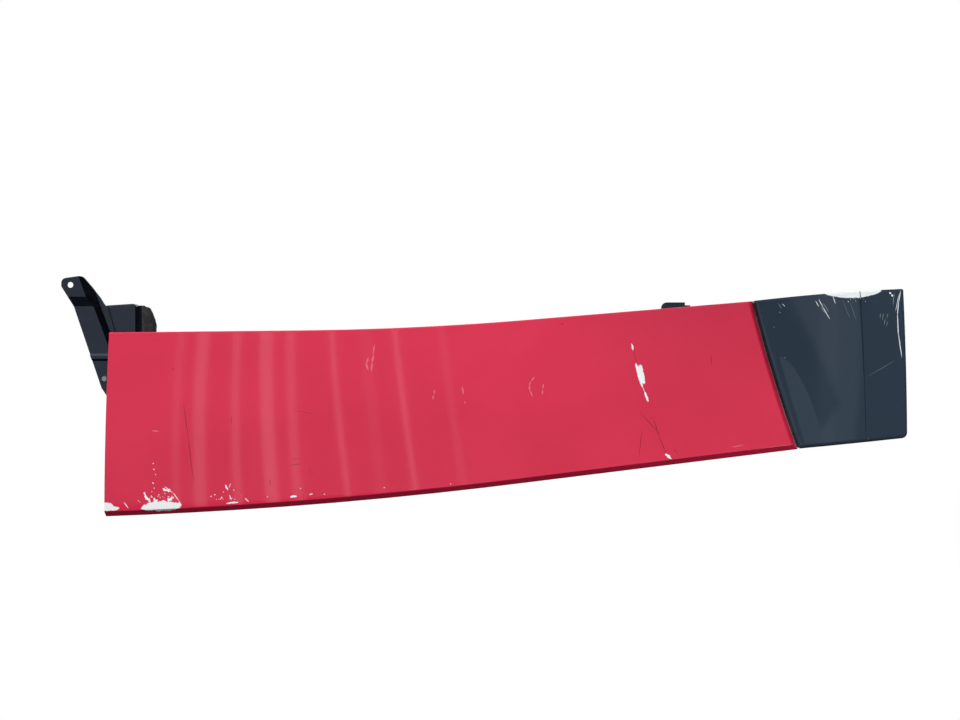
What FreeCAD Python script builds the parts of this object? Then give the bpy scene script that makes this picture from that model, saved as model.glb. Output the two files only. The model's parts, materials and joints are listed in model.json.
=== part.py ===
import FreeCAD, Part
import math
import os
import re
import Sketcher

# Truck cab side spoiler, right-hand side, in millimetres and as it sits on the cab.
# X points forward, Y points in towards the cab and Z points up. The origin is the centre
# of the upper bolt hole on the face that seats on the cab. A place on the side of the cab
# is given by its setback behind that hole and its drop below it.
doc = FreeCAD.newDocument("side_spoiler")

SIZES = {
    # outline of the red upper panel
    "top_drop_front": 85,
    "top_drop_rear": 74,
    "top_setback_front": 104.5,
    "top_setback_rear": 512.5,
    "front_bend_start_drop": 518,
    "front_bend_start_setback": 100,
    "front_bend_end_drop": 1002,
    "front_bend_end_setback": 77.3,
    "front_bend_radius": 6700,
    "rear_bend_end_drop": 1013,
    "rear_bend_end_setback": 436.8,
    "rear_bend_radius": 10200,
    "seam_drop_front": 1507.5,
    "seam_setback_front": 35.6,
    "seam_rake": 100.1,
    "seam_setback_rear": 363.2,
    "seam_bow_radius": 2650,
    # outline of the grey lower panel
    "seam_gap": 3.5,
    "lower_length_front": 334,
    "end_setback_front": 8.1,
    "lower_length_rear": 242.4,
    "end_setback_rear": 338,
    "lower_front_bow_radius": 4700,
    "end_corner_radius": 13,
    # section of both panels
    "face_offset": 8,
    "crown_radius": 3000,
    "crown_setback": 313,
    "crown_lean": 4.4,
    "skin": 3,
    "front_return": 20,
    "rear_return": 38,
    "return_span": 400,
    "lip_bevel": 12.5,
    "lip_edge_radius": 1.5,
    "lower_lip_radius": 10,
    "edge_radius": 3.5,
    # shape of the grey panel's face
    "crease_rise": 93.5,
    "end_dip": 3,
    "scoop_radius": 220,
    "scoop_depth": 1.5,
    "scoop_offset": 14,
    "scoop_tilt": 2.2,
    # ribs and bosses behind the red skin
    "rib_thickness": 3,
    "rib_height": 9,
    "rib_reach": 138,
    "first_rib_drop": 320,
    "rib_pitch": 232,
    "boss_radius": 9,
    "bracket_set": 22.5,
    # pressed tray of the upper bracket
    "base_setback_front": 44,
    "base_front_rise": 4.5,
    "base_setback_rear": 255,
    "base_drop_near": 66,
    "base_drop_far": 136,
    "lug_setback": 190,
    "lug_drop": 56.5,
    "tail_drop": 82,
    "base_depth": 26,
    "base_sheet": 2.5,
    "base_corner_radius": 8,
    "base_edge_radius": 3.5,
    "base_flange_front": 43,
    "base_flange_rear": 144,
    "base_bolt_setback_near": 120,
    "base_bolt_setback_middle": 172,
    "base_bolt_setback_far": 228,
    "base_bolt_drop_near": 103,
    "base_bolt_drop_far": 119,
    # buffer pad beside the tray
    "pad_gap": 12,
    "pad_width": 28,
    "pad_setback_front": 44,
    "pad_setback_rear": 150,
    "pad_inset": 5,
    "pad_shoulder_run": 5,
    "pad_shoulder_width": 15,
    "pad_knee_run": 19,
    "pad_knee_width": 21,
    "pad_side_run": 38,
    # pressed arm with its ear
    "arm_sheet": 3,
    "ear_setback_front": -14,
    "ear_top_slope": 0.147,
    "ear_drop_near": -20,
    "ear_corner_radius": 11,
    "ear_width": 17.5,
    "ear_fall": 14.1,
    "jog_fall": 24.6,
    "mount_hole_radius": 6.5,
    "jog_setback_start": 26,
    "jog_setback_end": 47,
    "jog_depth": 8,
    "bead_setback_start": 151.3,
    "bead_width": 16.6,
    "bead_slope": 5,
    "bead_height": 3,
    "arm_setback_end": 250,
    "arm_drop_end": 81,
    "arm_end_width": 5,
    "tail_run": 22,
    "tail_rise": 15,
    "tail_spread": 14,
    "fold_setback": 46.1,
    "fold_drop": 47.9,
    "fold_lean": 20.45,
    "wall_slope": 55,
    "gusset_fall_near": 25,
    "gusset_fall_far": 43.5,
    "gusset_corner_radius": 9,
    "gusset_shoulder_run": 35,
    "gusset_shoulder_rise": 2,
    "gusset_knee_run": 18,
    "gusset_knee_fall": 11.3,
    "gusset_toe_run": 6.4,
    "gusset_toe_fall": 18,
    "gusset_heel_run": 4,
    "gusset_heel_fall": 27,
    "gusset_step_run": 66,
    "gusset_step_fall": 45,
    "gusset_foot_fall": 92,
    "foot_width": 16,
    "foot_setback_end": 160,
    "arm_bolt_setback": 207,
    "arm_bolt_drop": 73.5,
    "foot_bolt_setback": 135,
    # pressed angle of the lower bracket
    "angle_sheet": 3,
    "angle_seam_distance": 129.5,
    "angle_width": 65.5,
    "angle_setback_front": 35.5,
    "angle_web_front": 100,
    "angle_web_rear": 120,
    "angle_setback_rear": 196,
    "angle_depth": 30,
    "angle_bend_radius": 4,
    "angle_corner_radius": 13,
    "angle_notch_width": 12,
    "angle_notch_depth": 6.5,
    "angle_hole_setback": 68,
    "angle_hole_radius": 6.5,
    "angle_bolt_setback_near": 142,
    "angle_bolt_setback_far": 178,
    "angle_bolt_spread": 38,
    # bolts into the bosses
    "bolt_radius": 4,
    "bolt_length": 18,
    "bolt_head_flats": 13,
    "bolt_head_height": 5.5,
    "bolt_clearance": 0.5,
    "thread_clearance": 0.05,
    "washer_radius": 8.5,
    "washer_thickness": 1.6,
    "insert_radius": 6,
    "insert_length": 16,
    # smaller bolts through the arm and the seam
    "small_bolt_radius": 3,
    "small_bolt_flats": 10,
    "small_bolt_head": 4,
    "small_bolt_flange_radius": 6,
    "small_bolt_flange": 1.4,
    "small_bolt_clearance": 0.3,
    "small_nut_height": 5,
    "small_bolt_spare": 2,
    "spacer_radius": 6,
    # seam between the panels
    "strip_set": 8,
    "strip_width": 12,
    "strip_inset_front": 3,
    "strip_inset_rear": 5,
    "seam_bolt_pitch": 100,
    "seam_bolt_set": 15,
    "seat_clearance": 0.02,
}

sheet = doc.addObject("Spreadsheet::Sheet", "sizes")
for row, (alias, size) in enumerate(SIZES.items(), 1):
    sheet.set(f"A{row}", str(size))
    sheet.setAlias(f"A{row}", alias)
doc.recompute()

# Cutting shapes reach this far, well past every edge of the part, or overrun an edge by a little.
REACH = 450
SPARE = 5
# Outlines are drawn on the side of the cab, and sections lie level across it.
PLANES = {"plan": "XZ_Plane", "section": "XY_Plane"}
OUT = FreeCAD.Rotation(FreeCAD.Vector(1, 0, 0), 90)
IN = FreeCAD.Rotation(FreeCAD.Vector(1, 0, 0), -90)


# A formula in the names above, as the document reads it.
def formula(text):
    return re.sub(r"[a-z_]+", lambda word: "sizes." + word[0] if word[0] in SIZES else word[0], str(text))


def number(text):
    found = sheet.evalExpression(formula(text))
    return float(getattr(found, "Value", found))


def bind(item, slot, text):
    item.setExpression(slot, formula(text))


def bind_place(item, slot, x="0", y="0", z="0"):
    for axis, text in zip("xyz", (x, y, z)):
        bind(item, f"{slot}.Base.{axis}", text)


# An empty sketch on one of a body's planes.
def new_sketch(body, name, plane):
    sketch = body.newObject("Sketcher::SketchObject", name)
    support = [item for item in body.Origin.OriginFeatures if item.Role == PLANES[plane]]
    sketch.AttachmentSupport = [(support[0], "")]
    sketch.MapMode = "FlatFace"
    return sketch


# A closed sketch through corners given as pairs of formulas. A curve is an arc from its
# corner to the next one, with a radius and the side of the path that it bulges to.
def draw(body, name, plane, corners, curves=None):
    curves = curves or {}
    sketch = new_sketch(body, name, plane)
    points = [FreeCAD.Vector(number(x), number(y), 0) for x, y in corners]
    count = len(points)
    ends = []
    for index in range(count):
        start = points[index]
        end = points[(index + 1) % count]
        if index in curves:
            radius, side = curves[index]
            half = (end - start) * 0.5
            reach = math.sqrt(number(radius) ** 2 - half.Length ** 2)
            centre = start + half + FreeCAD.Vector(half.y, -half.x, 0).normalize() * reach * side
            # an arc runs anticlockwise, so one that bulges to the left of the path is drawn backwards
            first, last = (end, start) if side > 0 else (start, end)
            turns = [math.atan2(at.y - centre.y, at.x - centre.x) for at in (first, last)]
            if turns[1] < turns[0]:
                turns[1] += 2 * math.pi
            circle = Part.Circle(centre, FreeCAD.Vector(0, 0, 1), number(radius))
            item = sketch.addGeometry(Part.ArcOfCircle(circle, *turns), False)
            ends.append((item, 2, 1) if side > 0 else (item, 1, 2))
            place = sketch.addConstraint(Sketcher.Constraint("Radius", item, number(radius)))
            bind(sketch, f"Constraints[{place}]", radius)
        else:
            item = sketch.addGeometry(Part.LineSegment(start, end), False)
            ends.append((item, 1, 2))
    for index in range(count):
        item, first, last = ends[index]
        after = ends[(index + 1) % count]
        sketch.addConstraint(Sketcher.Constraint("Coincident", item, last, after[0], after[1]))
        for kind, text in zip(("DistanceX", "DistanceY"), corners[index]):
            place = sketch.addConstraint(Sketcher.Constraint(kind, -1, 1, item, first, number(text)))
            bind(sketch, f"Constraints[{place}]", text)
    return sketch


# Corners on the side of the cab, from setbacks and drops.
def on_side(*corners):
    return [(f"-({setback})", f"-({drop})") for setback, drop in corners]


def new_body(name):
    return doc.addObject("PartDesign::Body", name)


# Adds a sketch's prism to its body, or takes it away, both ways from the sketch or one way.
def prism(body, kind, name, sketch, length=None, flip=False):
    step = body.newObject(f"PartDesign::{kind}", name)
    step.Profile = sketch
    step.SideType = "Symmetric" if length is None else "One side"
    step.Reversed = flip
    if length is None:
        step.Length = REACH if kind == "Pad" else 10 * REACH
    else:
        bind(step, "Length", length)
    doc.recompute()
    return step


def round_edges(body, name, edges, radius):
    base = body.Tip
    step = body.newObject("PartDesign::Fillet", name)
    step.Base = (base, [f"Edge{index + 1}" for index in edges])
    bind(step, "Radius", radius)
    doc.recompute()
    return step


def bevel_edges(body, name, edges, size):
    base = body.Tip
    step = body.newObject("PartDesign::Chamfer", name)
    step.Base = (base, [f"Edge{index + 1}" for index in edges])
    bind(step, "Size", size)
    doc.recompute()
    return step


def hollow(body, name, faces, wall):
    base = body.Tip
    step = body.newObject("PartDesign::Thickness", name)
    step.Base = (base, [f"Face{index + 1}" for index in faces])
    step.Mode = "Skin"
    step.Join = "Arc"
    step.Reversed = True
    bind(step, "Value", wall)
    doc.recompute()
    return step


# Where an edge or a face lies, by a point near its middle.
def middle(edge):
    return edge.valueAt((edge.FirstParameter + edge.LastParameter) / 2)


def normal_of(face):
    low_u, high_u, low_v, high_v = face.ParameterRange
    return face.normalAt((low_u + high_u) / 2, (low_v + high_v) / 2)


def edges_where(shape, test):
    return [index for index, edge in enumerate(shape.Edges) if test(middle(edge), edge)]


def faces_towards(shape, direction, least=0.99):
    return [
        index
        for index, face in enumerate(shape.Faces)
        if face.Surface.TypeId == "Part::GeomPlane" and normal_of(face).dot(direction) > least
    ]


FORWARD = FreeCAD.Vector(1, 0, 0)
INWARD = FreeCAD.Vector(0, 1, 0)
UP = FreeCAD.Vector(0, 0, 1)


# How far the crowned face falls back at a distance from its centre line.
def crown_fall(reach):
    return f"(crown_radius - sqrt(crown_radius^2 - ({reach})^2))"


# Turns a section sketch to stand across the panels' centre line.
def lean(sketch):
    sketch.AttachmentOffset = FreeCAD.Placement(
        FreeCAD.Vector(), FreeCAD.Rotation(INWARD, -number("crown_lean"))
    )
    bind(sketch, "AttachmentOffset.Rotation.Angle", "-crown_lean")
    bind_place(sketch, "AttachmentOffset", "-crown_setback")


# Corners and curve of the space outside a crowned face, or of the space inside it.
def crown_section(rise, outside):
    edge = f"{rise} + {crown_fall(REACH)}"
    limit = f"{-REACH if outside else REACH}"
    corners = [(f"{-REACH}", limit), (f"{REACH}", limit), (f"{REACH}", edge), (f"{-REACH}", edge)]
    return corners, {2: ("crown_radius", 1)}


def cut_crown(body, name, rise, outside=True):
    corners, curves = crown_section(rise, outside)
    sketch = draw(body, f"{name}_section", "section", corners, curves)
    lean(sketch)
    return prism(body, "Pocket", name, sketch)


# Cuts off the returns along a line that runs back from the front edge to the rear one.
def cut_back(body, name):
    rise = f"-face_offset + {crown_fall('return_span / 2')} + (front_return + rear_return) / 2"
    slope = f"(rear_return - front_return) / return_span * {REACH}"
    corners = [
        (f"{-REACH}", f"{rise} + {slope}"),
        (f"{REACH}", f"{rise} - ({slope})"),
        (f"{REACH}", f"{REACH}"),
        (f"{-REACH}", f"{REACH}"),
    ]
    sketch = draw(body, f"{name}_section", "section", corners)
    lean(sketch)
    return prism(body, "Pocket", name, sketch)


# The seam's lean, as the sine and cosine of its chord.
SEAM_RUN = "(seam_setback_rear - seam_setback_front)"
SEAM_FALL = "seam_rake"
SEAM_CHORD = f"sqrt({SEAM_RUN}^2 + {SEAM_FALL}^2)"
SEAM_SIN = f"({SEAM_FALL} / {SEAM_CHORD})"
SEAM_COS = f"({SEAM_RUN} / {SEAM_CHORD})"
SEAM_REACH = f"sqrt(seam_bow_radius^2 - {SEAM_CHORD}^2 / 4)"
SEAM_CENTRE_SETBACK = f"((seam_setback_front + seam_setback_rear) / 2 - {SEAM_REACH} * {SEAM_SIN})"
SEAM_MIDDLE_DROP = "(seam_drop_front + seam_rake / 2)"
SEAM_CENTRE_DROP = f"({SEAM_MIDDLE_DROP} + {SEAM_REACH} * {SEAM_COS})"

# Where the grey panel ends, at its front and rear, and where its end starts to dip in.
END_DROP_FRONT = "(seam_drop_front + lower_length_front)"
END_DROP_REAR = "(seam_drop_front + seam_rake + lower_length_rear)"
CREASE_DROP = f"({END_DROP_FRONT} - crease_rise)"


# The corner at a setback on the seam, or on a line that runs beside it at a lift above it.
def seam_corner(setback, lift):
    fall = f"sqrt((seam_bow_radius + {lift})^2 - ({setback} - {SEAM_CENTRE_SETBACK})^2)"
    return setback, f"{SEAM_CENTRE_DROP} - {fall}"


# Edges of the crowned face, and of any face that continues it.
def rim_edges(shape, wanted):
    skin_edges = []
    for face in shape.Faces:
        if normal_of(face).y < -0.9:
            skin_edges += face.Edges
    found = []
    for index, edge in enumerate(shape.Edges):
        uses = sum(1 for other in skin_edges if edge.isSame(other))
        if uses == 1 and wanted(middle(edge)):
            found.append(index)
    return found


# The red panel's outer form, or with an inset the space inside its skin, which runs out
# through the open top end and the open back.
def upper_form(name, inset):
    body = new_body(name)
    open_end = "0" if inset == "0" else f"{REACH / 5}"
    corners = on_side(
        (f"top_setback_front + {inset}", f"top_drop_front - {open_end}"),
        (f"front_bend_start_setback + {inset}", "front_bend_start_drop"),
        (f"front_bend_end_setback + {inset}", "front_bend_end_drop"),
        seam_corner(f"seam_setback_front + {inset}", inset),
        seam_corner(f"seam_setback_rear - {inset}", inset),
        (f"rear_bend_end_setback - {inset}", "rear_bend_end_drop"),
        (f"top_setback_rear - {inset}", "top_drop_rear"),
    )
    curves = {
        1: (f"front_bend_radius + {inset}", -1),
        3: (f"seam_bow_radius + {inset}", -1),
        5: (f"rear_bend_radius - {inset}", 1),
    }
    if inset != "0":
        corners += on_side((f"top_setback_rear - {inset}", f"top_drop_rear - {open_end}"))
    outline = draw(body, f"{name}_outline", "plan", corners, curves)
    prism(body, "Pad", f"{name}_block", outline)
    cut_crown(body, f"{name}_crown", f"-face_offset + {inset}")
    if inset == "0":
        cut_back(body, f"{name}_back")
    half_way = -number("(top_setback_front + top_setback_rear) / 2")
    half_width = number("(top_setback_rear - top_setback_front) / 2")
    top = -number("front_bend_start_drop / 2")
    seam = -number("seam_drop_front")
    lip = rim_edges(body.Shape, lambda at: at.z < seam or (at.x < half_way and at.z < top))
    if inset != "0":
        lip += rim_edges(body.Shape, lambda at: at.x < half_way - half_width / 2 and at.z > top)
    bevel_edges(body, f"{name}_lip", lip, f"lip_bevel - (2 - sqrt(2)) * {inset}")
    if inset == "0":
        front = rim_edges(body.Shape, lambda at: at.x > half_way and seam < at.z < top)
        round_edges(body, f"{name}_front_edge", front, "edge_radius")
        bend = rim_edges(body.Shape, lambda at: at.z < seam or (at.x < half_way and at.z < top))
        round_edges(body, f"{name}_lip_bend", bend, "lip_edge_radius")
    return body


# A section sketch set square to a line across the side of the cab, at a turn from upright.
def turn(sketch, angle, setback, drop):
    sketch.AttachmentOffset = FreeCAD.Placement(FreeCAD.Vector(), FreeCAD.Rotation(INWARD, number(angle)))
    bind(sketch, "AttachmentOffset.Rotation.Angle", angle)
    bind_place(sketch, "AttachmentOffset", f"-({setback})", "0", f"-({drop})")


# The grey panel's outer form, or with an inset the space inside its skin. Its end dips
# in from a crease, and a shallow scoop runs along the seam.
def lower_form(name, inset):
    body = new_body(name)
    corners = on_side(
        seam_corner(f"seam_setback_front - seam_gap * {SEAM_SIN} + {inset}", f"(-seam_gap - {inset})"),
        (f"end_setback_front + {inset}", f"{END_DROP_FRONT} - {inset}"),
        (f"end_setback_rear - {inset}", f"{END_DROP_REAR} - {inset}"),
        seam_corner(f"seam_setback_rear - seam_gap * {SEAM_SIN} - {inset}", f"(-seam_gap - {inset})"),
    )
    curves = {0: (f"lower_front_bow_radius - {inset}", 1), 3: (f"seam_bow_radius - seam_gap - {inset}", 1)}
    outline = draw(body, f"{name}_outline", "plan", corners, curves)
    prism(body, "Pad", f"{name}_block", outline)
    cut_crown(body, f"{name}_crown", f"-face_offset + {inset}")
    dip = draw(body, f"{name}_dip_section", "section", *crown_section(f"{inset}", True))
    dip.AttachmentOffset = FreeCAD.Placement(
        FreeCAD.Vector(), FreeCAD.Rotation(0, -number("crown_lean"), number("end_dip"))
    )
    bind(dip, "AttachmentOffset.Rotation.Pitch", "-crown_lean")
    bind(dip, "AttachmentOffset.Rotation.Roll", "end_dip")
    crease_place = f"-crown_setback + {CREASE_DROP} * tan(crown_lean)"
    bind_place(dip, "AttachmentOffset", crease_place, "-face_offset", f"-{CREASE_DROP}")
    prism(body, "Pocket", f"{name}_dip", dip)
    scoop = new_sketch(body, f"{name}_scoop_section", "section")
    drawn = Part.Circle(FreeCAD.Vector(0, 0, 0), FreeCAD.Vector(0, 0, 1), number("scoop_radius"))
    scoop.addGeometry(drawn, False)
    place = scoop.addConstraint(Sketcher.Constraint("Radius", 0, number("scoop_radius")))
    bind(scoop, f"Constraints[{place}]", "scoop_radius")
    scoop.addConstraint(Sketcher.Constraint("Coincident", 0, 3, -1, 1))
    turned = "90 - atan(" + SEAM_FALL + " / " + SEAM_RUN + ") / 1 deg"
    scoop.AttachmentOffset = FreeCAD.Placement(
        FreeCAD.Vector(), FreeCAD.Rotation(0, number(turned), number("scoop_tilt"))
    )
    bind(scoop, "AttachmentOffset.Rotation.Pitch", turned)
    bind(scoop, "AttachmentOffset.Rotation.Roll", "scoop_tilt")
    bind_place(
        scoop,
        "AttachmentOffset",
        f"-(seam_setback_front + seam_setback_rear) / 2 + scoop_offset * {SEAM_SIN}",
        f"-face_offset - scoop_radius + scoop_depth + {inset}",
        f"-{SEAM_MIDDLE_DROP} - scoop_offset * {SEAM_COS}",
    )
    prism(body, "Pocket", f"{name}_scoop", scoop)
    if inset == "0":
        cut_back(body, f"{name}_back")
    rear = -number(f"end_setback_rear - {inset}")
    end = -number(f"{END_DROP_REAR} - {inset}")
    corner = edges_where(body.Shape, lambda at, edge: abs(at.x - rear) < 1 and abs(at.z - end) < 1)
    round_edges(body, f"{name}_corner", corner, f"end_corner_radius - {inset}")
    half_way = number(crease_place)
    side = number("(end_setback_rear - end_setback_front) / 4")
    seam = -number("seam_drop_front + seam_rake + lower_lip_radius")
    low = -number(f"({END_DROP_FRONT} + {END_DROP_REAR}) / 2 - crease_rise / 4")
    lip = rim_edges(body.Shape, lambda at: at.z < low or (at.x < half_way - side and at.z < seam))
    round_edges(body, f"{name}_lip", lip, f"lower_lip_radius - {inset}")
    if inset == "0":
        rest = rim_edges(body.Shape, lambda at: at.z > low and (at.x > half_way + side or at.z > seam))
        round_edges(body, f"{name}_edges", rest, "edge_radius")
    return body


# Makes one solid of the pieces of a sub-part, less the holes through it.
def join(name, pieces, holes=()):
    whole = pieces[0]
    if len(pieces) > 1:
        whole = doc.addObject("Part::MultiFuse", f"{name}_joined")
        whole.Shapes = pieces
    if not holes:
        whole.Label = name
        return whole
    tool = holes[0]
    if len(holes) > 1:
        tool = doc.addObject("Part::MultiFuse", f"{name}_holes")
        tool.Shapes = holes
    cut = doc.addObject("Part::Cut", f"{name}_cut")
    cut.Base = whole
    cut.Tool = tool
    cut.Label = name
    return cut


def less(name, base, tool):
    cut = doc.addObject("Part::Cut", name)
    cut.Base = base
    cut.Tool = tool
    return cut


def common(name, base, tool):
    both = doc.addObject("Part::Common", name)
    both.Base = base
    both.Tool = tool
    return both


# A cylinder that starts at a place on the side of the cab and runs in or out.
def rod(name, radius, length, setback, set_in, drop, way=IN):
    item = doc.addObject("Part::Cylinder", name)
    bind(item, "Radius", radius)
    bind(item, "Height", length)
    item.Placement = FreeCAD.Placement(FreeCAD.Vector(), way)
    bind_place(item, "Placement", f"-({setback})", set_in, f"-({drop})")
    return item


# Sub-parts that repeat share one node.
def group(name, pieces):
    node = doc.addObject("Part::Compound", name)
    node.Links = pieces
    node.Label = name
    return node


nodes = []

# Places of the bolts into the red panel's bosses, as setback and drop.
BASE_BOLTS = [
    ("base_bolt_setback_near", "base_bolt_drop_far"),
    ("base_bolt_setback_middle", "base_bolt_drop_far"),
    ("base_bolt_setback_far", "base_bolt_drop_near"),
]
ANGLE_FAR = "(seam_drop_front - angle_seam_distance)"
ANGLE_NEAR = f"({ANGLE_FAR} - angle_width)"
ANGLE_MIDDLE = f"({ANGLE_FAR} - angle_width / 2)"
ANGLE_BOLTS = [
    ("angle_bolt_setback_far", f"{ANGLE_MIDDLE} - angle_bolt_spread / 2"),
    ("angle_bolt_setback_far", f"{ANGLE_MIDDLE} + angle_bolt_spread / 2"),
    ("angle_bolt_setback_near", ANGLE_MIDDLE),
]

# Places of the seam bolts, by their distance along the seam's chord from its middle.
SEAM_BOLTS = ["-seam_bolt_pitch", "0", "seam_bolt_pitch"]


# The place on the seam's red face and its turn, at a distance along the chord.
def on_seam(along):
    bow = f"(sqrt(seam_bow_radius^2 - ({along})^2) - {SEAM_REACH})"
    setback = f"(seam_setback_front + seam_setback_rear) / 2 + ({along}) * {SEAM_COS} + {bow} * {SEAM_SIN}"
    drop = f"{SEAM_MIDDLE_DROP} + ({along}) * {SEAM_SIN} - {bow} * {SEAM_COS}"
    angle = f"-atan({SEAM_FALL} / {SEAM_RUN}) - asin(({along}) / seam_bow_radius)"
    return setback, drop, angle


# Sets a piece square to the seam, with its own axis pointing up through the red flange.
def set_on_seam(item, along, lift):
    setback, drop, angle = on_seam(along)
    item.Placement = FreeCAD.Placement(FreeCAD.Vector(), FreeCAD.Rotation(INWARD, number(angle)))
    bind(item, "Placement.Rotation.Angle", angle)
    place_x = f"-({setback}) + ({lift}) * sin({angle})"
    place_z = f"-({drop}) + ({lift}) * cos({angle})"
    bind_place(item, "Placement", place_x, "seam_bolt_set", place_z)


def seam_holes(name):
    holes = []
    for index, along in enumerate(SEAM_BOLTS):
        hole = doc.addObject("Part::Cylinder", f"{name}_seam_hole_{index}")
        bind(hole, "Radius", "small_bolt_radius + small_bolt_clearance")
        bind(hole, "Height", "seam_gap + 4 * skin")
        set_on_seam(hole, along, "-seam_gap - 2 * skin")
        holes.append(hole)
    return holes


# Bars behind the red skin: one along the crown's centre line and others across it.
ribs = new_body("upper_ribs")
RIB_COUNT = 5
RIB_END = f"first_rib_drop + rib_pitch * {RIB_COUNT - 1}"
bars = [("rib_thickness / 2", "first_rib_drop - rib_thickness / 2", f"{RIB_END} + rib_thickness / 2")]
for index in range(RIB_COUNT):
    drop = f"first_rib_drop + rib_pitch * {index}"
    bars.append(("rib_reach", f"{drop} - rib_thickness / 2", f"{drop} + rib_thickness / 2"))
for index, (reach, start, end) in enumerate(bars):
    corners = [
        (f"-({reach})", f"-({start})"),
        (f"-({reach})", f"-({end})"),
        (reach, f"-({end})"),
        (reach, f"-({start})"),
    ]
    bar = draw(ribs, f"rib_outline_{index}", "plan", corners)
    bar.AttachmentOffset = FreeCAD.Placement(FreeCAD.Vector(), FreeCAD.Rotation(UP, number("crown_lean")))
    bind(bar, "AttachmentOffset.Rotation.Angle", "crown_lean")
    bind_place(bar, "AttachmentOffset", "-crown_setback")
    prism(ribs, "Pad", f"rib_{index}", bar)
cut_crown(ribs, "ribs_outside", "-face_offset + skin / 2")
cut_crown(ribs, "ribs_inside", "-face_offset + skin + rib_height", False)

# Bosses run from inside the skin to the brackets' seats.
bosses = []
for index, (setback, drop) in enumerate(BASE_BOLTS + ANGLE_BOLTS):
    height = "bracket_set + face_offset"
    bosses.append(rod(f"boss_{index}", "boss_radius", height, setback, "bracket_set", drop, OUT))
boss_limit = upper_form("boss_limit", "skin / 2")
boss_group = doc.addObject("Part::MultiFuse", "bosses")
boss_group.Shapes = bosses
insert_holes = [
    rod(f"insert_hole_{index}", "insert_radius", "insert_length", setback, "bracket_set", drop, OUT)
    for index, (setback, drop) in enumerate(BASE_BOLTS + ANGLE_BOLTS)
]
upper_shell = less("upper_shell", upper_form("upper_outer", "0"), upper_form("upper_inner", "skin"))
nodes.append(
    join(
        "upper_panel",
        [upper_shell, ribs, common("bosses_trimmed", boss_group, boss_limit)],
        insert_holes + seam_holes("upper"),
    )
)
lower_shell = less("lower_shell", lower_form("lower_outer", "0"), lower_form("lower_inner", "skin"))
nodes.append(join("lower_panel", [lower_shell], seam_holes("lower")))

# Foam strip between the end flanges.
strip = new_body("strip_form")
strip_front = "seam_setback_front + strip_inset_front"
strip_rear = "seam_setback_rear - strip_inset_rear"
strip_outline = draw(
    strip,
    "strip_outline",
    "plan",
    on_side(
        seam_corner(strip_front, "0"),
        seam_corner(strip_rear, "0"),
        seam_corner(strip_rear, "(-seam_gap)"),
        seam_corner(strip_front, "(-seam_gap)"),
    ),
    {0: ("seam_bow_radius", -1), 2: ("seam_bow_radius - seam_gap", 1)},
)
bind_place(strip_outline, "AttachmentOffset", "0", "0", "-strip_set")
prism(strip, "Pad", "strip_block", strip_outline, "strip_width", True)
nodes.append(join("seam_strip", [strip], seam_holes("strip")))


# A hexagon bar with its axis upright, and a disc under it if it has a flange.
def hexagon(name, flats, height, lift):
    item = doc.addObject("Part::Prism", name)
    item.Polygon = 6
    bind(item, "Circumradius", f"({flats}) / sqrt(3)")
    bind(item, "Height", height)
    bind_place(item, "Placement", "0", "0", lift)
    return item


def disc(name, radius, height, lift):
    item = doc.addObject("Part::Cylinder", name)
    bind(item, "Radius", radius)
    bind(item, "Height", height)
    bind_place(item, "Placement", "0", "0", lift)
    return item


# A flanged bolt whose head seats at its own origin and whose shank runs down.
def flanged_bolt(name, length):
    bolt = doc.addObject("Part::MultiFuse", name)
    bolt.Shapes = [
        hexagon(f"{name}_hex", "small_bolt_flats", "small_bolt_head", "small_bolt_flange"),
        disc(f"{name}_flange", "small_bolt_flange_radius", "small_bolt_flange", "0"),
        disc(f"{name}_shank", "small_bolt_radius", length, f"-({length})"),
    ]
    return bolt


# A flanged nut that seats at its own origin and hangs down from it.
def flanged_nut(name):
    outside = doc.addObject("Part::MultiFuse", f"{name}_outside")
    outside.Shapes = [
        hexagon(f"{name}_hex", "small_bolt_flats", "small_nut_height", "-small_nut_height"),
        disc(f"{name}_flange", "small_bolt_flange_radius", "small_bolt_flange", "-small_bolt_flange"),
    ]
    thread = "small_bolt_radius + thread_clearance"
    bore = disc(f"{name}_bore", thread, "small_nut_height", "-small_nut_height")
    return less(name, outside, bore)


def hex_bolt(name):
    bolt = doc.addObject("Part::MultiFuse", name)
    bolt.Shapes = [
        hexagon(f"{name}_hex", "bolt_head_flats", "bolt_head_height", "0"),
        disc(f"{name}_shank", "bolt_radius", "bolt_length", "-bolt_length"),
    ]
    return bolt


def ring(name, radius, hole, height):
    return less(name, disc(f"{name}_disc", radius, height, "0"), disc(f"{name}_hole", hole, height, "0"))


# Stands an upright piece in or out from the side of the cab.
def set_on_side(item, setback, set_in, drop, way=IN):
    item.Placement = FreeCAD.Placement(FreeCAD.Vector(), way)
    bind_place(item, "Placement", f"-({setback})", set_in, f"-({drop})")
    return item


seam_bolts = []
seam_nuts = []
for index, along in enumerate(SEAM_BOLTS):
    bolt = flanged_bolt(f"seam_bolt_{index}", "seam_gap + 2 * skin + small_nut_height + small_bolt_spare")
    set_on_seam(bolt, along, "skin")
    seam_bolts.append(bolt)
    nut = flanged_nut(f"seam_nut_{index}")
    set_on_seam(nut, along, "-seam_gap - skin - seat_clearance")
    seam_nuts.append(nut)
nodes.append(group("seam_bolts", seam_bolts))
nodes.append(group("seam_nuts", seam_nuts))

# Tray of the upper bracket, open at the back.
base = new_body("base_form")
base_outline = draw(
    base,
    "base_outline",
    "plan",
    on_side(
        ("base_setback_front", "base_drop_near"),
        ("base_setback_front - base_front_rise", "base_drop_far"),
        ("base_setback_rear", "base_drop_far"),
        ("base_setback_rear", "tail_drop"),
        ("lug_setback", "lug_drop"),
    ),
)
bind_place(base_outline, "AttachmentOffset", "0", "0", "-bracket_set")
prism(base, "Pad", "base_block", base_outline, "base_depth", True)


def across(edge):
    return abs(edge.tangentAt(edge.FirstParameter).y) > 0.99


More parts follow.
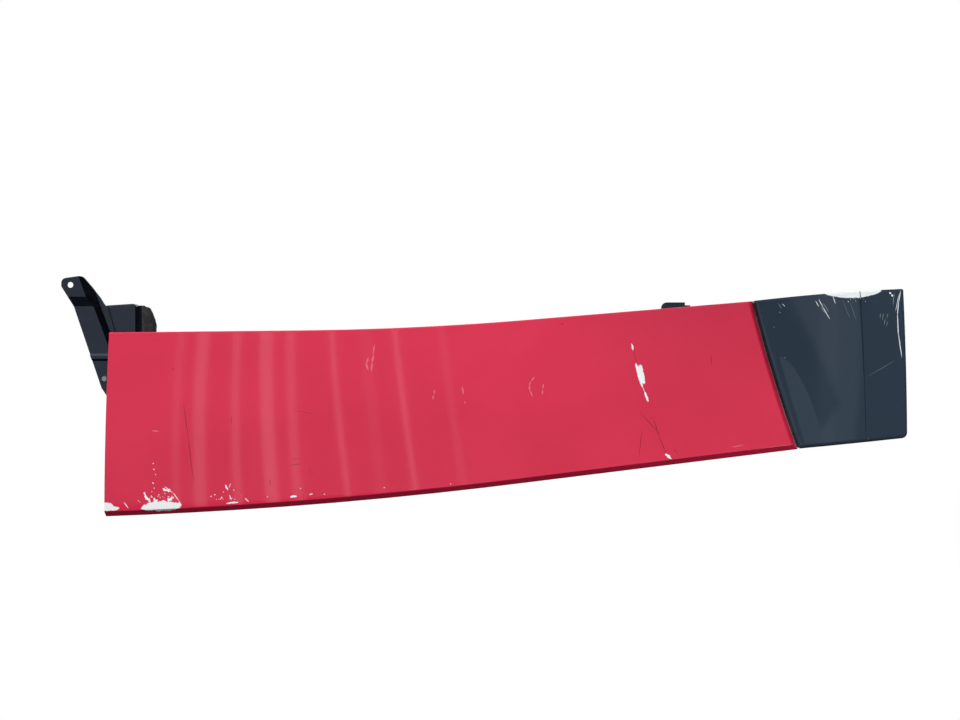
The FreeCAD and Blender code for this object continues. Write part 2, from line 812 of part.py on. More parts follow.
upright = edges_where(base.Shape, lambda at, edge: across(edge))
round_edges(base, "base_corners", upright, "base_corner_radius")
seat = number("bracket_set")
front_rim = edges_where(base.Shape, lambda at, edge: abs(at.y - seat) < 0.01)
round_edges(base, "base_edge", front_rim, "base_edge_radius")
hollow(base, "base_shell", faces_towards(base.Shape, INWARD), "base_sheet")
FOLD_COS = "cos(fold_lean)"
ARM_FRONT = "(jog_depth - arm_sheet)"
FOOT_START = f"(bracket_set - arm_sheet - {ARM_FRONT}) / tan(wall_slope)"
FOOT_BOLT_DROP = (
    "fold_drop + (foot_bolt_setback - fold_setback) * tan(fold_lean)"
    f" + ({FOOT_START} + foot_width * 0.6) / {FOLD_COS}"
)
ARM_BOLTS = [("arm_bolt_setback", "arm_bolt_drop"), ("foot_bolt_setback", FOOT_BOLT_DROP)]
LARGE_HOLE = "bolt_radius + bolt_clearance"
SMALL_HOLE = "small_bolt_radius + small_bolt_clearance"
base_holes = []
for radius, places in ((LARGE_HOLE, BASE_BOLTS), (SMALL_HOLE, ARM_BOLTS)):
    for setback, drop in places:
        start = "bracket_set - base_sheet / 2"
        name = f"base_hole_{len(base_holes)}"
        base_holes.append(rod(name, radius, "2 * base_sheet", setback, start, drop))

# Flange along the tray's back, which carries the foam pad and stops short of its edge.
PAD_NEAR = "(base_drop_far + pad_gap)"
FLANGE_EDGE = f"{PAD_NEAR} + pad_knee_width - base_sheet"
flange = new_body("flange_form")
flange_outline = draw(
    flange,
    "flange_outline",
    "plan",
    on_side(
        ("base_flange_front", "base_drop_far - base_sheet"),
        ("base_flange_front", PAD_NEAR),
        ("pad_setback_front + pad_knee_run", FLANGE_EDGE),
        ("base_flange_rear", FLANGE_EDGE),
        ("base_flange_rear", "base_drop_far - base_sheet"),
    ),
)
bind_place(flange_outline, "AttachmentOffset", "0", "0", "-bracket_set - base_depth + base_sheet")
prism(flange, "Pad", "flange_sheet", flange_outline, "base_sheet", True)
nodes.append(join("upper_bracket_base", [base, flange], base_holes))

# Foam pad glued to the front of that flange.
pad = new_body("pad_form")
pad_outline = draw(
    pad,
    "pad_outline",
    "plan",
    on_side(
        ("pad_setback_front", PAD_NEAR),
        ("pad_setback_front + pad_shoulder_run", f"{PAD_NEAR} + pad_shoulder_width"),
        ("pad_setback_front + pad_knee_run", f"{PAD_NEAR} + pad_knee_width"),
        ("pad_setback_front + pad_side_run", f"{PAD_NEAR} + pad_width"),
        ("pad_setback_rear", f"{PAD_NEAR} + pad_width"),
        ("pad_setback_rear", PAD_NEAR),
    ),
)
bind_place(pad_outline, "AttachmentOffset", "0", "0", "-bracket_set - pad_inset")
prism(pad, "Pad", "pad_block", pad_outline, "base_depth - base_sheet - pad_inset", True)
nodes.append(join("buffer_pad", [pad]))

# Ends of the arm's bead, and of the ear's top along the gusset.
BEAD_END = "(bead_setback_start + bead_width)"
EAR_NEAR = "ear_drop_near + gusset_fall_near"
EAR_FAR = "ear_drop_near + gusset_fall_far"


# The setback of the ear's sloping top edge at a drop.
def ear_top(drop):
    return f"ear_setback_front - ear_top_slope * ({drop} - ear_drop_near)"


# The arm's bends, seen along the drop: ear, jog, arm and a bead across it.
bends = new_body("arm_bends")
steps = [
    (f"{ear_top('fold_drop')} - {SPARE}", "-arm_sheet"),
    ("jog_setback_start", "-arm_sheet"),
    ("jog_setback_end", ARM_FRONT),
    ("bead_setback_start", ARM_FRONT),
    ("bead_setback_start + bead_slope", f"{ARM_FRONT} - bead_height"),
    (f"{BEAD_END} - bead_slope", f"{ARM_FRONT} - bead_height"),
    (BEAD_END, ARM_FRONT),
    (f"arm_setback_end + {SPARE}", ARM_FRONT),
]
near = [(f"-({setback})", depth) for setback, depth in steps]
far = [(f"-({setback})", f"{depth} + arm_sheet") for setback, depth in reversed(steps)]
bend_section = draw(bends, "bend_section", "section", near + far)
prism(bends, "Pad", "bend_sheet", bend_section)

# The arm's outline, cut along its lower side by the plane of the sloping wall.
arm_plan = new_body("arm_plan")
arm_outline = draw(
    arm_plan,
    "arm_outline",
    "plan",
    on_side(
        ("ear_setback_front", "ear_drop_near"),
        ("ear_setback_front + ear_width", "ear_drop_near"),
        ("jog_setback_start", "ear_drop_near + ear_fall"),
        ("jog_setback_end", "ear_drop_near + jog_fall"),
        ("arm_setback_end - tail_run", "arm_drop_end - tail_rise"),
        ("arm_setback_end", "arm_drop_end"),
        ("arm_setback_end", "arm_drop_end + arm_end_width"),
        (BEAD_END, "arm_drop_end + arm_end_width + tail_spread"),
        (ear_top("fold_drop"), "fold_drop"),
    ),
)
prism(arm_plan, "Pad", "arm_plan_block", arm_outline)
WALL_RUN = "1 / tan(wall_slope)"
beyond = [
    (f"({-REACH / 5} - {ARM_FRONT}) * {WALL_RUN}", f"{-REACH / 5}"),
    (f"{REACH}", f"{-REACH / 5}"),
    (f"{REACH}", f"{REACH / 5}"),
    (f"({REACH / 5} - {ARM_FRONT}) * {WALL_RUN}", f"{REACH / 5}"),
]
beyond_section = draw(arm_plan, "beyond_wall", "section", beyond)
turn(beyond_section, "90 - fold_lean", "fold_setback", "fold_drop")
prism(arm_plan, "Pocket", "wall_plane", beyond_section)
ear_corner = edges_where(
    arm_plan.Shape,
    lambda at, edge: across(edge)
    and abs(at.x + number("ear_setback_front")) < 0.1
    and abs(at.z + number("ear_drop_near")) < 0.1,
)
round_edges(arm_plan, "ear_corner", ear_corner, "ear_corner_radius")
arm_blade = common("arm_blade", bends, arm_plan)

# The sloping wall and its foot on the tray, trimmed to the gusset beside the ear.
wall = new_body("arm_wall")
run_out = "arm_sheet / sin(wall_slope)"
wall_corners = [
    (f"-jog_depth * {WALL_RUN}", "-arm_sheet"),
    (FOOT_START, "bracket_set - arm_sheet"),
    (f"{FOOT_START} + foot_width", "bracket_set - arm_sheet"),
    (f"{FOOT_START} + foot_width", "bracket_set"),
    (f"(bracket_set - {ARM_FRONT}) * {WALL_RUN} - {run_out}", "bracket_set"),
    (f"-jog_depth * {WALL_RUN} - {run_out}", "-arm_sheet"),
]
wall_section = draw(wall, "wall_section", "section", wall_corners)
turn(wall_section, "90 - fold_lean", "fold_setback", "fold_drop")
prism(wall, "Pad", "wall_sheet", wall_section)
gusset = new_body("gusset_plan")
gusset_outline = draw(
    gusset,
    "gusset_outline",
    "plan",
    on_side(
        (ear_top(EAR_NEAR), EAR_NEAR),
        (ear_top(EAR_FAR), EAR_FAR),
        ("fold_setback - gusset_shoulder_run", "fold_drop - gusset_shoulder_rise"),
        ("fold_setback - gusset_knee_run", "fold_drop + gusset_knee_fall"),
        ("fold_setback - gusset_toe_run", "fold_drop + gusset_toe_fall"),
        ("fold_setback + gusset_heel_run", "fold_drop + gusset_heel_fall"),
        ("fold_setback + gusset_step_run", "fold_drop + gusset_step_fall"),
        ("fold_setback + gusset_step_run", "fold_drop + gusset_foot_fall"),
        ("foot_setback_end", "fold_drop + gusset_foot_fall"),
        ("foot_setback_end", "fold_drop"),
        ("jog_setback_end", EAR_FAR),
    ),
)
prism(gusset, "Pad", "gusset_block", gusset_outline)
gusset_corner = edges_where(
    gusset.Shape,
    lambda at, edge: across(edge)
    and abs(at.x + number(ear_top(EAR_FAR))) < 0.1
    and abs(at.z + number(EAR_FAR)) < 0.1,
)
round_edges(gusset, "gusset_corner", gusset_corner, "gusset_corner_radius")
arm_wall = common("arm_wall_trimmed", wall, gusset)
over_arm = new_body("over_arm")
over_section = draw(
    over_arm,
    "over_section",
    "section",
    [
        ("-jog_setback_end", ARM_FRONT),
        ("-jog_setback_start", "-arm_sheet"),
        ("-jog_setback_start", f"{-REACH / 5}"),
        ("-arm_setback_end", f"{-REACH / 5}"),
        ("-arm_setback_end", ARM_FRONT),
    ],
)
prism(over_arm, "Pad", "over_block", over_section)
arm_holes = [rod("mount_hole", "mount_hole_radius", "4 * arm_sheet", "0", "-2 * arm_sheet", "0")]
for index, (setback, drop) in enumerate(ARM_BOLTS):
    hole = rod(f"arm_hole_{index}", SMALL_HOLE, "bracket_set + arm_sheet", setback, "-arm_sheet", drop)
    arm_holes.append(hole)
nodes.append(join("upper_bracket_arm", [arm_blade, less("wall_under_arm", arm_wall, over_arm)], arm_holes))

# Spacer tube and bolts between the arm and the tray.
FOOT_BACK = f"({ARM_FRONT} + arm_sheet)"
spacer = ring("arm_spacer_tube", "spacer_radius", SMALL_HOLE, f"bracket_set - {FOOT_BACK}")
set_on_side(spacer, "arm_bolt_setback", FOOT_BACK, "arm_bolt_drop")
nodes.append(join("arm_spacer", [spacer]))
TRAY_BACK = "bracket_set + base_sheet"
arm_bolts = []
arm_nuts = []
for index, ((setback, drop), front) in enumerate(
    zip(ARM_BOLTS, (ARM_FRONT, "(bracket_set - arm_sheet)"))
):
    bolt = flanged_bolt(f"arm_bolt_{index}", f"{TRAY_BACK} - {front} + small_nut_height + small_bolt_spare")
    arm_bolts.append(set_on_side(bolt, setback, front, drop, OUT))
    nut = flanged_nut(f"arm_nut_{index}")
    arm_nuts.append(set_on_side(nut, setback, TRAY_BACK, drop, OUT))
nodes.append(group("arm_bolts", arm_bolts))
nodes.append(group("arm_nuts", arm_nuts))

# Angle of the lower bracket: seat on the bosses, web, and flange on the cab.
angle = new_body("angle_form")
flange_front = "bracket_set + angle_depth"
angle_section = draw(
    angle,
    "angle_section",
    "section",
    [
        ("-angle_setback_rear", "bracket_set"),
        ("-angle_web_rear", "bracket_set"),
        ("-angle_web_front", flange_front),
        ("-angle_setback_front", flange_front),
        ("-angle_setback_front", f"{flange_front} + angle_sheet"),
        ("-angle_web_front - angle_sheet * 0.75", f"{flange_front} + angle_sheet"),
        ("-angle_web_rear - angle_sheet * 0.75", "bracket_set + angle_sheet"),
        ("-angle_setback_rear", "bracket_set + angle_sheet"),
    ],
)
bind_place(angle_section, "AttachmentOffset", "0", "0", f"-{ANGLE_FAR}")
prism(angle, "Pad", "angle_sheet_metal", angle_section, "angle_width")
web = (-number("angle_web_rear + 2 * angle_bend_radius"), -number("angle_web_front - 2 * angle_bend_radius"))


def along(edge):
    return abs(edge.tangentAt(edge.FirstParameter).z) > 0.99


bend_edges = edges_where(angle.Shape, lambda at, edge: along(edge) and web[0] < at.x < web[1])
round_edges(angle, "angle_bends", bend_edges, "angle_bend_radius")
front = -number("angle_setback_front")
top = -number(ANGLE_NEAR)
corner = edges_where(
    angle.Shape, lambda at, edge: across(edge) and abs(at.x - front) < 0.1 and abs(at.z - top) < 0.1
)
round_edges(angle, "angle_corner", corner, "angle_corner_radius")
notch = draw(
    angle,
    "angle_notch_outline",
    "plan",
    on_side(
        (f"angle_setback_front - {SPARE}", f"{ANGLE_FAR} - angle_notch_width"),
        ("angle_setback_front + angle_notch_depth", f"{ANGLE_FAR} - angle_notch_width"),
        ("angle_setback_front + angle_notch_depth", f"{ANGLE_FAR} + {SPARE}"),
        (f"angle_setback_front - {SPARE}", f"{ANGLE_FAR} + {SPARE}"),
    ),
)
prism(angle, "Pocket", "angle_notch", notch)
angle_holes = [
    rod(f"angle_hole_{index}", LARGE_HOLE, "2 * angle_sheet", setback, "bracket_set - angle_sheet / 2", drop)
    for index, (setback, drop) in enumerate(ANGLE_BOLTS)
]
flange_hole = ("angle_hole_setback", f"{flange_front} - angle_sheet", ANGLE_MIDDLE)
angle_holes.append(rod("angle_mount_hole", "angle_hole_radius", "3 * angle_sheet", *flange_hole))
nodes.append(join("lower_bracket", [angle], angle_holes))

# Bolts, washers and inserts of both brackets.
for bracket, places, plate in (
    ("upper_bracket", BASE_BOLTS, "base_sheet"),
    ("lower_bracket", ANGLE_BOLTS, "angle_sheet"),
):
    bolts = []
    washers = []
    inserts = []
    for index, (setback, drop) in enumerate(places):
        seat_in = f"bracket_set + {plate}"
        bolt = hex_bolt(f"{bracket}_bolt_{index}")
        bolts.append(set_on_side(bolt, setback, f"{seat_in} + washer_thickness", drop))
        washer = ring(f"{bracket}_washer_{index}", "washer_radius", LARGE_HOLE, "washer_thickness")
        washers.append(set_on_side(washer, setback, seat_in, drop))
        thread = "bolt_radius + thread_clearance"
        insert = ring(f"{bracket}_insert_{index}", "insert_radius", thread, "insert_length")
        inserts.append(set_on_side(insert, setback, "bracket_set", drop, OUT))
    nodes.append(group(f"{bracket}_bolts", bolts))
    nodes.append(group(f"{bracket}_washers", washers))
    nodes.append(group(f"{bracket}_inserts", inserts))

doc.recompute()
for item in doc.Objects:
    if "Invalid" in item.State or "Error" in item.State:
        raise RuntimeError(f"{item.Name} failed: {item.State}")
os.makedirs("parts", exist_ok=True)
for node in nodes:
    if node.Shape.isNull() or not node.Shape.isValid():
        raise RuntimeError(f"{node.Label} has no sound shape")
    node.Shape.exportStep(f"parts/{node.Label}.step")
    print(f"{node.Label}: {len(node.Shape.Solids)} solids, {node.Shape.Volume / 1000:.1f} cm3")
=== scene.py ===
import json
import math

import bmesh
import bpy
from mathutils import Matrix, Vector, noise


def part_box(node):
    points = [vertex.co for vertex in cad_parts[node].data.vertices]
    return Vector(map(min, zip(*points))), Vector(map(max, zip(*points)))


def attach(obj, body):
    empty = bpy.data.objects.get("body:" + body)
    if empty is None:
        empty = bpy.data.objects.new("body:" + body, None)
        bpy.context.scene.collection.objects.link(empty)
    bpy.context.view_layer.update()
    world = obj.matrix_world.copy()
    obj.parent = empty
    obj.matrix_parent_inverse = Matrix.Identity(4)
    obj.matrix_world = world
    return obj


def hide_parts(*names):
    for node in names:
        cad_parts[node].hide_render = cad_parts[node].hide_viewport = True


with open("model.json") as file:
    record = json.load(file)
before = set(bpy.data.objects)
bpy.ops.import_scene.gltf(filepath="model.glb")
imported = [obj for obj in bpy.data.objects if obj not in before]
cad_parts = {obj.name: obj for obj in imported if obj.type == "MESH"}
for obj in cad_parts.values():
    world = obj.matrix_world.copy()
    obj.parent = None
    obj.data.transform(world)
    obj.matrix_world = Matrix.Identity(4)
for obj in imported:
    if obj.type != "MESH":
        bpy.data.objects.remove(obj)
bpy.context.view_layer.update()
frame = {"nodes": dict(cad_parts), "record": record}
nodes = frame["nodes"]
print("frame loaded:", len(nodes), "solids groups")

mm = 0.001  # the scene is in metres

# Marks on the paint are placed by the picture's columns and rows on the skin. The upper bolt hole is the
# frame's origin.
picture = {"mmPerPixel": 2.2, "holeColumn": 69.4, "holeRow": 284.7, "width": 960, "height": 720}
pixel = picture["mmPerPixel"] * mm


def onSkin(column, row):
    return (picture["holeRow"] - row) * pixel, (picture["holeColumn"] - column) * pixel


def toLinear(code):
    shades = [int(code[at:at + 2], 16) / 255 for at in (1, 3, 5)]
    return [s / 12.92 if s <= 0.04045 else ((s + 0.055) / 1.055) ** 2.4 for s in shades] + [1.0]


def addObject(name, data):
    item = bpy.data.objects.new(name, data)
    bpy.context.scene.collection.objects.link(item)
    return item


def toMesh(name, shape):
    data = bpy.data.meshes.new(name)
    shape.to_mesh(data)
    shape.free()
    return data


# adds one node, with its settings, and its inputs as values, sockets or other nodes
def addNode(tree, kind, inputs=None, **settings):
    node = tree.nodes.new("ShaderNode" + kind)
    for name, value in settings.items():
        setattr(node, name, value)
    for place, source in (inputs or {}).items():
        if isinstance(source, bpy.types.Node):
            source = source.outputs[0]
        if isinstance(source, bpy.types.NodeSocket):
            tree.links.new(source, node.inputs[place])
        else:
            node.inputs[place].default_value = source
    return node


# A Mix node repeats its sockets' names for each kind of data, so its colour sockets go by number.
mixShare, mixFirst, mixSecond, mixResult = 0, 6, 7, 2


def newMaterial(name, surface):
    material = bpy.data.materials.new(name)
    material.use_nodes = True
    tree = material.node_tree
    tree.nodes.clear()
    shader = addNode(tree, "BsdfPrincipled", surface)
    addNode(tree, "OutputMaterial", {"Surface": shader})
    return material, tree, shader


# How far inside the nearest of some marks a point lies: 1 at a mark's centre, 0 at its edge. A mark is a
# slim ellipse, given by the column and row of its start, those of its end, and its width in pixels.
def markField(tree, coords, marks):
    field = None
    for startColumn, startRow, endColumn, endRow, width in marks:
        run, fall = endColumn - startColumn, endRow - startRow
        x, z = onSkin((startColumn + endColumn) / 2, (startRow + endRow) / 2)
        placed = addNode(tree, "Mapping", {
            "Vector": coords,
            "Location": (x, 0, z),
            "Rotation": (0, math.atan2(fall, run), 0),
            "Scale": (width * pixel / 2, 1, math.hypot(run, fall) * pixel / 2),
        }, vector_type="TEXTURE")
        mark = addNode(tree, "TexGradient", {"Vector": placed}, gradient_type="SPHERICAL").outputs["Fac"]
        if field is not None:
            mark = addNode(tree, "Math", {0: field, 1: mark}, operation="MAXIMUM")
        field = mark
    return field


# object coordinates pushed about by noise, so that an edge drawn with them is ragged
def raggedCoords(tree, coords, grainMm, pushMm):
    grain = addNode(tree, "TexNoise", {"Vector": coords, "Scale": 1 / (grainMm * mm), "Detail": 3.0})
    centred = addNode(tree, "VectorMath", {
        0: grain.outputs["Color"], 1: (0.5, 0.5, 0.5)  # the noise's mean
    }, operation="SUBTRACT")
    push = 2 * pushMm * mm  # the noise reaches a half each way
    pushed = addNode(tree, "VectorMath", {0: centred, 1: (push, push, push)}, operation="MULTIPLY")
    return addNode(tree, "VectorMath", {0: coords, 1: pushed}, operation="ADD")


redCoat = {
    "paint": "#D32B4B",
    "shade": "#CD2747",
    "primer": "#EEF1F2",
    "scratchAndCreaseShade": "#7E0A1D",
    "scuff": "#E07186",
    "bare": "#C9C7BF",
    "ior": 1.5,
    "roughness": 0.05,
    "glint": "#FFFFFF",
    "gloss": 0.22,
    "raggedness": [(16, 9), (5, 5)],
    "specks": [
        (110, 506, 205, 490, 30),
        (195, 500, 262, 497, 15),
        (276, 499, 330, 494, 8),
    ],
    "chips": [
        (139, 507.8, 181, 505.4, 11),
        (143.3, 493.6, 149.5, 502.5, 2.4),
        (162.3, 488.6, 168.2, 492.4, 3.2),
        (166.5, 501, 172.8, 496.8, 3.2),
        (153, 499.6, 158, 502, 2),
    ],
    "slimChips": [
        (95, 506.6, 113.6, 507.6, 8.8),
        (103, 508.8, 118.8, 508.7, 4.6),
        (225.2, 485, 227.2, 490.4, 1.7),
        (225.5, 503.7, 238.5, 502.6, 1.8),
        (289.5, 497.2, 296.6, 496.6, 1.9),
        (635.6, 362.6, 642.6, 387.4, 3.2),
        (638.6, 365, 644.2, 384.2, 5),
        (640, 364.4, 642.6, 371, 2.6),
        (632, 343.4, 633.2, 350.8, 1.7),
        (644.4, 391.6, 648.4, 401.6, 2.2),
        (665.4, 454, 671.8, 458.8, 2.6),
    ],
    "whiteScratches": [
        (163.7, 486.5, 172.6, 493.4, 1),
        (172, 492.6, 178.6, 501.6, 1),
        (178.2, 500.8, 180.4, 506.6, 1),
        (122.9, 502.2, 127.5, 509, 1.2),
        (244, 498, 248.2, 502.6, 1.2),
        (308.4, 494.9, 312.6, 494.1, 1.2),
        (209.4, 496.9, 211.4, 496.3, 1),
        (213.2, 495.2, 215, 494.8, 1.2),
        (228.6, 495, 231, 500.6, 1),
        (152.4, 463.8, 153.8, 463.4, 1.2),
        (152.9, 469, 154.3, 470, 1.3),
        (154.6, 474.4, 155.8, 474.6, 1.1),
        (152, 482.4, 153.2, 484, 1.4),
        (153.2, 488.2, 154.2, 488.4, 1.1),
        (150.8, 491.6, 151.8, 492, 1),
        (157.6, 494.6, 158.8, 495.4, 1.1),
        (323.4, 494.3, 324.8, 494.7, 1.1),
        (383.4, 488, 384.8, 488.2, 1),
        (450, 484, 451.2, 484.2, 1),
        (641.8, 384.6, 645.2, 393.4, 0.7),
        (230.4, 483.2, 228.2, 488.4, 0.7),
        (222.4, 492, 223.4, 492.8, 0.9),
        (232.8, 489.8, 233.8, 491, 0.8),
        (219.2, 499, 220.4, 499.6, 1),
        (299.4, 488.4, 300.6, 489, 0.9),
        (266.4, 496.8, 267.6, 497.2, 0.9),
    ],
    "darkScratchesAndCreaseShade": [
        (183.2, 400.6, 188.6, 442, 0.9),
        (187.4, 432, 193.7, 486, 1),
        (638.4, 410.6, 661.8, 435.8, 0.9),
        (653, 416.6, 660, 439, 0.9),
        (658.4, 434, 667.8, 457.4, 1),
        (642.2, 428, 639.2, 458.6, 0.8),
        (673.8, 448.2, 678.2, 454.2, 0.8),
        (231, 415.6, 231.6, 424.4, 0.9),
        (171, 370.6, 174, 367.6, 0.9),
        (711, 352.6, 712, 366.8, 0.7),
        (561.4, 323.4, 562.8, 324.6, 1.6),
        (633.4, 350, 636.6, 363.4, 0.7),
        (288.6, 465.6, 303, 463.8, 0.7),
        (290, 459, 300, 458.4, 0.5),
        (269.6, 478, 270, 486.4, 0.8),
        (308.6, 467, 311.4, 474.6, 0.5),
        (292, 410.4, 314, 413.6, 0.4),
        (233.4, 427, 235.4, 431, 0.5),
    ],
    "scuffs": [
        (151, 430.6, 159.4, 431.6, 1.8),
        (730, 447.6, 746, 445, 1.1),
        (368.4, 357, 366.6, 364, 2.2),
        (365.6, 362, 368.2, 370.6, 2.4),
        (374.4, 343, 372.8, 356, 1.8),
        (373.6, 354, 371.6, 364, 2.4),
        (372.2, 362, 371, 372, 2.4),
        (434, 389, 434.8, 394.4, 1.8),
        (433.6, 394.6, 432.8, 400, 1.8),
        (462, 385.6, 463.6, 395.4, 1.8),
        (464.2, 402.2, 466, 402.6, 2.2),
        (535, 376, 530.4, 382.4, 1.6),
        (530.6, 381, 529.2, 386.4, 1.8),
        (529.2, 385, 529.8, 391.4, 1.9),
        (529.8, 390, 533, 397, 1.9),
        (543.4, 383.4, 543, 389.4, 1.7),
        (543, 389, 542.2, 394.6, 1.8),
    ],
}

# The red panel's edge at the seam, which is bowed, has a pale line: paint worn to primer, and partly a
# painted highlight. It starts a little way down the edge, and each of its marks runs on under the next.
seamLine = {
    "column": 754.6, "row": 300.9, "run": 45.5, "fall": 148.9, "bow": 2.5,
    "inset": 0.6, "width": 2.2, "marks": 9, "paleLineFrom": 0.08, "overlap": 0.3,
}


def paleSeamMarks():
    length = math.hypot(seamLine["run"], seamLine["fall"])
    points = []
    for index in range(seamLine["marks"] + 1):
        along = seamLine["paleLineFrom"] + (1 - seamLine["paleLineFrom"]) * index / seamLine["marks"]
        aside = (4 * seamLine["bow"] * along * (1 - along) + seamLine["inset"]) / length
        points.append((
            seamLine["column"] + seamLine["run"] * along - seamLine["fall"] * aside,
            seamLine["row"] + seamLine["fall"] * along + seamLine["run"] * aside,
        ))
    marks = []
    for (startColumn, startRow), (endColumn, endRow) in zip(points, points[1:]):
        run = (endColumn - startColumn) * seamLine["overlap"]
        fall = (endRow - startRow) * seamLine["overlap"]
        marks.append((startColumn - run, startRow - fall, endColumn + run, endRow + fall, seamLine["width"]))
    return marks


redCoat["wornEdgeAndHighlight"] = paleSeamMarks()

greyCoat = {
    "paint": "#2D3946",
    "shade": "#2B3743",
    "primer": "#E2E8EB",
    # on the grey panel this dark colour is used only for the painted shade along the crease
    "scratchAndCreaseShade": "#151C24",
    "bare": "#C9C7BF",
    "ior": 1.5,
    "roughness": 0.06,
    "glint": "#DCEBFF",
    "gloss": 0.22,
    "raggedness": [(24, 3), (5, 1)],
    "specks": [(812, 296, 904, 300, 18)],
    "chips": [
        (823, 290.2, 884, 288.6, 17),
        (890.6, 292.4, 892.6, 293.4, 1.8),
        (892.6, 294.8, 894.4, 296.2, 1.8),
    ],
    "faintScratchesAndReflectionLine": [
        (823, 302, 830, 313, 0.9),
        (821, 306, 826, 314, 0.8),
        (779.4, 311.6, 781, 313, 1.1),
        (773.6, 326.6, 774.8, 327.4, 1),
        (784.4, 357.6, 785.8, 358.4, 1),
        (779, 303, 782, 309, 0.8),
        (881.6, 313, 880.6, 318.4, 0.7),
        (884.2, 312.8, 883.2, 320.6, 0.7),
        (886.2, 317.8, 884.6, 325.4, 0.7),
        (888.6, 320.6, 887, 326.6, 0.7),
        (889, 313, 887.6, 318, 0.7),
        (896, 292, 894, 306, 0.9),
        # painted reflection: this faint pale diagonal is the line of the horizon seen in the grey gloss
        (866, 377.6, 898, 359, 0.35),
        (850, 300, 857, 322, 0.3),
        (843, 300, 851, 320, 0.3),
    ],
    "whiteScratches": [
        (819, 299, 823.6, 307.2, 0.9),
        (822.4, 305.6, 830.7, 319.8, 0.9),
        (816, 300.6, 819.6, 306.8, 0.8),
        (833.2, 295.6, 836.2, 304, 0.9),
        (782.6, 303.4, 785.6, 306.6, 0.7),
        (902.4, 289.6, 899.6, 304, 1),
        (900.2, 300, 898.4, 316, 1),
        (898.5, 312, 899.4, 338, 1.1),
        (899, 332, 902.8, 358.4, 1.1),
        (900.6, 293, 896.6, 312, 0.6),
    ],
    # painted shade: a dark line along the crease where the grey panel's end dips
    "darkScratchesAndCreaseShade": [
        (861, 288, 862.4, 338, 1.2),
        (861.6, 310, 864.4, 385, 1.3),
        (863.4, 350, 867, 446, 0.9),
    ],
    # painted shade: the dark spike at the top of the crease line
    "creaseShadeTip": [(860.4, 286.4, 861.8, 306, 1.3)],
}

# How a mark's edge runs, as pushes by noise: the grain of each and how far it pushes, both in mm.
# A ragged edge has its coat's own raggedness.
markEdges = {"straight": [], "torn": [(5, 2.6)], "shaky": [(14, 0.9)], "scuffed": [(4, 1.6)]}

# The marks from the undermost up: the colour that they show, how their edge runs, how much of the paint
# they cover and how soft their edge is.
markLayers = {
    "scuffs": {"tint": "scuff", "edge": "scuffed", "cover": 0.75, "softness": 0.5},
    # the red panel's dark scratches, and on the grey panel the painted shade along its crease
    "darkScratchesAndCreaseShade": {"tint": "scratchAndCreaseShade", "edge": "shaky", "cover": 0.7, "softness": 0.25},
    # faint scratches on the grey panel, and one painted reflection line among them
    "faintScratchesAndReflectionLine": {"tint": "primer", "edge": "shaky", "cover": 0.2, "softness": 0.3},
    "whiteScratches": {"tint": "primer", "edge": "shaky", "cover": 0.85, "softness": 0.25},
    # paint worn to primer along the seam edge, and partly a painted highlight
    "wornEdgeAndHighlight": {"tint": "primer", "edge": "straight", "cover": 0.22, "softness": 0.4},
    "slimChips": {"tint": "primer", "edge": "torn", "cover": 1.0, "softness": 0.08},
    "chips": {"tint": "primer", "edge": "ragged", "cover": 1.0, "softness": 0.06},
    # painted shade at the tip of the grey panel's crease
    "creaseShadeTip": {"tint": "scratchAndCreaseShade", "edge": "straight", "cover": 0.8, "softness": 0.25},
}

# The paint's faint clouds, and its tiny chips, which crowd together round the large ones.
paintPattern = {
    "cloudMm": 200, "cloudFrom": 0.35, "cloudTo": 0.7,
    "speckMm": 3.85, "speckCrowding": 0.3, "speckFrom": 0.9, "speckTo": 0.925,
    "bareRoughness": 0.7,
}

# The middle of the panels, by its setback at the upper hole and its lean; it parts the two returns.
middleLine = {"setback": 0.313, "slope": 0.077}

print("building the paints")


# the paint's clouds, then its marks, then its tiny chips
def markedColour(tree, coat, coords):
    cloud = addNode(tree, "TexNoise", {
        "Vector": coords, "Scale": 1 / (paintPattern["cloudMm"] * mm), "Detail": 2.0
    })
    clouded = addNode(tree, "MapRange", {
        "Value": cloud, "From Min": paintPattern["cloudFrom"], "From Max": paintPattern["cloudTo"]
    })
    colour = addNode(tree, "Mix", {
        mixShare: clouded, mixFirst: toLinear(coat["paint"]), mixSecond: toLinear(coat["shade"])
    }, data_type="RGBA").outputs[mixResult]
    spreads = {}
    for edge, pushes in {**markEdges, "ragged": coat["raggedness"]}.items():
        spreads[edge] = coords
        for grainMm, pushMm in pushes:
            spreads[edge] = raggedCoords(tree, spreads[edge], grainMm, pushMm)
    for marks, layer in markLayers.items():
        if marks not in coat:
            continue
        covered = addNode(tree, "MapRange", {
            "Value": markField(tree, spreads[layer["edge"]], coat[marks]),
            "From Max": layer["softness"],
            "To Max": layer["cover"],
        })
        colour = addNode(tree, "Mix", {
            mixShare: covered, mixFirst: colour, mixSecond: toLinear(coat[layer["tint"]])
        }, data_type="RGBA").outputs[mixResult]
    dots = addNode(tree, "TexNoise", {
        "Vector": coords, "Scale": 1 / (paintPattern["speckMm"] * mm), "Detail": 1.0
    })
    crowded = addNode(tree, "Math", {
        0: markField(tree, coords, coat["specks"]), 1: paintPattern["speckCrowding"], 2: dots
    }, operation="MULTIPLY_ADD")
    speck = addNode(tree, "MapRange", {
        "Value": crowded, "From Min": paintPattern["speckFrom"], "From Max": paintPattern["speckTo"]
    })
    return addNode(tree, "Mix", {
        mixShare: speck, mixFirst: colour, mixSecond: toLinear(coat["primer"])
    }, data_type="RGBA").outputs[mixResult]


